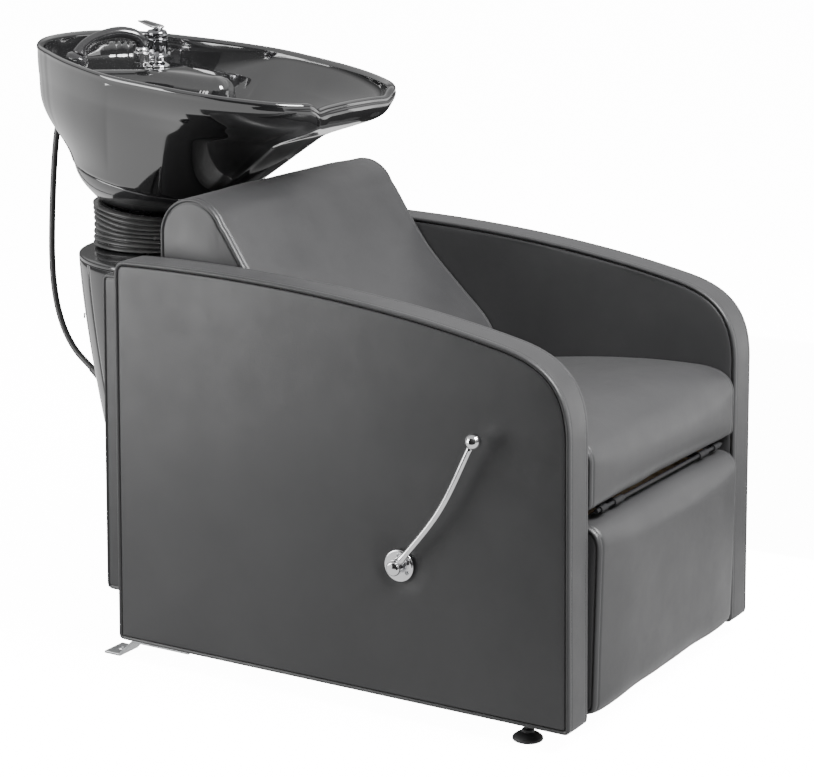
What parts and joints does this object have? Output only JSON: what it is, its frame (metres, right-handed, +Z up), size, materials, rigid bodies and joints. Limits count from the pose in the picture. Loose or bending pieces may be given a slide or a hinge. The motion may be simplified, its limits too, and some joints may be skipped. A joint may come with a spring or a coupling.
{
  "type": "shampoo backwash unit",
  "caption": "Upholstered salon backwash chair with a lever-lifted leg rest and a tilting glazed basin on a column, with mixer tap and hand shower.",
  "frame": {"origin": "centre of the footprint box on the floor, with the hanging shower hose left out", "axes": "+Z up; the sitter faces -Y; +X points to the sitter's left, so the lever is on the -X side"},
  "size_m": [0.6786, 1.1279, 0.9487],
  "materials": {
    "black_leatherette": "smooth black leatherette with a soft sheen",
    "plywood": "bare plywood",
    "chrome": "polished chrome plate",
    "zinc_steel": "zinc plated steel",
    "black_steel": "black powder coat",
    "black_glaze": "gloss black glaze",
    "gloss_black_plastic": "moulded gloss black",
    "matte_black_plastic": "moulded matt black",
    "black_rubber": "flexible black rubber",
    "brass": "turned brass"
  },
  "bodies": {
    "frame": {"right_edge_band": "black_leatherette", "right_outer_pad": "black_leatherette", "right_inner_pad": "black_leatherette", "right_core_panel": "plywood", "left_edge_band": "black_leatherette", "left_outer_pad": "black_leatherette", "left_inner_pad": "black_leatherette", "left_core_panel": "plywood", "right_floor_bracket": "zinc_steel", "left_floor_bracket": "zinc_steel", "seat_cushion": "black_leatherette", "seat_board": "plywood", "backrest_cushion": "black_leatherette", "backrest_frame": "plywood", "backrest_right_side": "black_leatherette", "backrest_left_side": "black_leatherette", "rear_panel_cover": "black_leatherette", "rear_panel_board": "plywood", "seat_frame": "black_steel", "lever_plate": "chrome", "lever_bush": "brass", "column_shell": "gloss_black_plastic", "column_rear_cover": "gloss_black_plastic", "column_top": "gloss_black_plastic", "left_cover_screw": "zinc_steel", "right_cover_screw": "zinc_steel", "column_mast": "black_steel", "tilt_base": "black_steel", "tilt_pin": "zinc_steel", "bellows": "black_rubber", "drain_hose": "matte_black_plastic", "cold_supply_hose": "zinc_steel", "hot_supply_hose": "zinc_steel", "hose_column_gland": "black_rubber", "shower_hose": "black_rubber"},
    "right_foot": {"right_levelling_foot": "matte_black_plastic"},
    "left_foot": {"left_levelling_foot": "matte_black_plastic"},
    "leg_rest": {"leg_rest_cushion": "black_leatherette", "leg_rest_board": "plywood", "leg_rest_hinge": "black_steel", "leg_rest_horn": "black_steel"},
    "lever": {"lever_shaft": "zinc_steel", "lever_bar": "chrome", "lever_knob": "chrome", "lever_crank": "black_steel"},
    "link": {"leg_rest_link": "black_steel"},
    "basin": {"tilt_bracket": "black_steel", "basin_bowl": "black_glaze", "basin_collar": "matte_black_plastic", "drain_flange": "chrome", "drain_elbow": "matte_black_plastic", "tap_base": "chrome", "tap_body": "chrome", "shower_holder": "chrome", "hose_basin_gland": "black_rubber"},
    "strainer": {"drain_strainer": "chrome"},
    "mixer_cap": {"tap_cap": "chrome"},
    "mixer_lever": {"tap_lever": "chrome"},
    "handset": {"handset_body": "gloss_black_plastic", "handset_head": "gloss_black_plastic"}
  },
  "joints": [
    {"name": "leg_rest_hinge", "type": "hinge", "parent": "frame", "child": "leg_rest", "pos_m": [0.01935, -0.53479, 0.333], "axis": [-1, 0, 0], "range_deg": [0, 80]},
    {"name": "lever_hinge", "type": "hinge", "parent": "frame", "child": "lever", "pos_m": [-0.30065, -0.27379, 0.236], "axis": [-1, 0, 0], "range_deg": [0, 80]},
    {"name": "link_hinge", "type": "hinge", "parent": "lever", "child": "link", "pos_m": [-0.22065, -0.21579, 0.206], "axis": [-1, 0, 0], "range_deg": [-80, 0]},
    {"name": "basin_tilt", "type": "hinge", "parent": "frame", "child": "basin", "pos_m": [0.01935, 0.39521, 0.622], "axis": [1, 0, 0], "range_deg": [-12, 3], "deforming": ["bellows", "shower_hose", "drain_hose", "cold_supply_hose", "hot_supply_hose"]},
    {"name": "mixer_turn", "type": "hinge", "parent": "basin", "child": "mixer_cap", "pos_m": [0.01935, 0.37321, 0.938], "axis": [0, 0, 1], "range_deg": [-50, 50]},
    {"name": "mixer_lift", "type": "hinge", "parent": "mixer_cap", "child": "mixer_lever", "pos_m": [0.01327, 0.36177, 0.9408], "axis": [0.8829, -0.4695, 0], "range_deg": [0, 20]},
    {"name": "handset_lift", "type": "slide", "parent": "basin", "child": "handset", "axis": [0, 0, 1], "range_m": [0, 0.08]},
    {"name": "strainer_lift", "type": "slide", "parent": "basin", "child": "strainer", "axis": [0, 0, 1], "range_m": [0, 0.03]},
    {"name": "right_foot_level", "type": "slide", "parent": "frame", "child": "right_foot", "axis": [0, 0, 1], "range_m": [-0.008, 0.01]},
    {"name": "left_foot_level", "type": "slide", "parent": "frame", "child": "left_foot", "axis": [0, 0, 1], "range_m": [-0.008, 0.01]}
  ],
  "couplings": [
    {"joint": "lever_hinge", "follows": "leg_rest_hinge", "ratio": 1},
    {"joint": "link_hinge", "follows": "leg_rest_hinge", "ratio": -1}
  ]
}
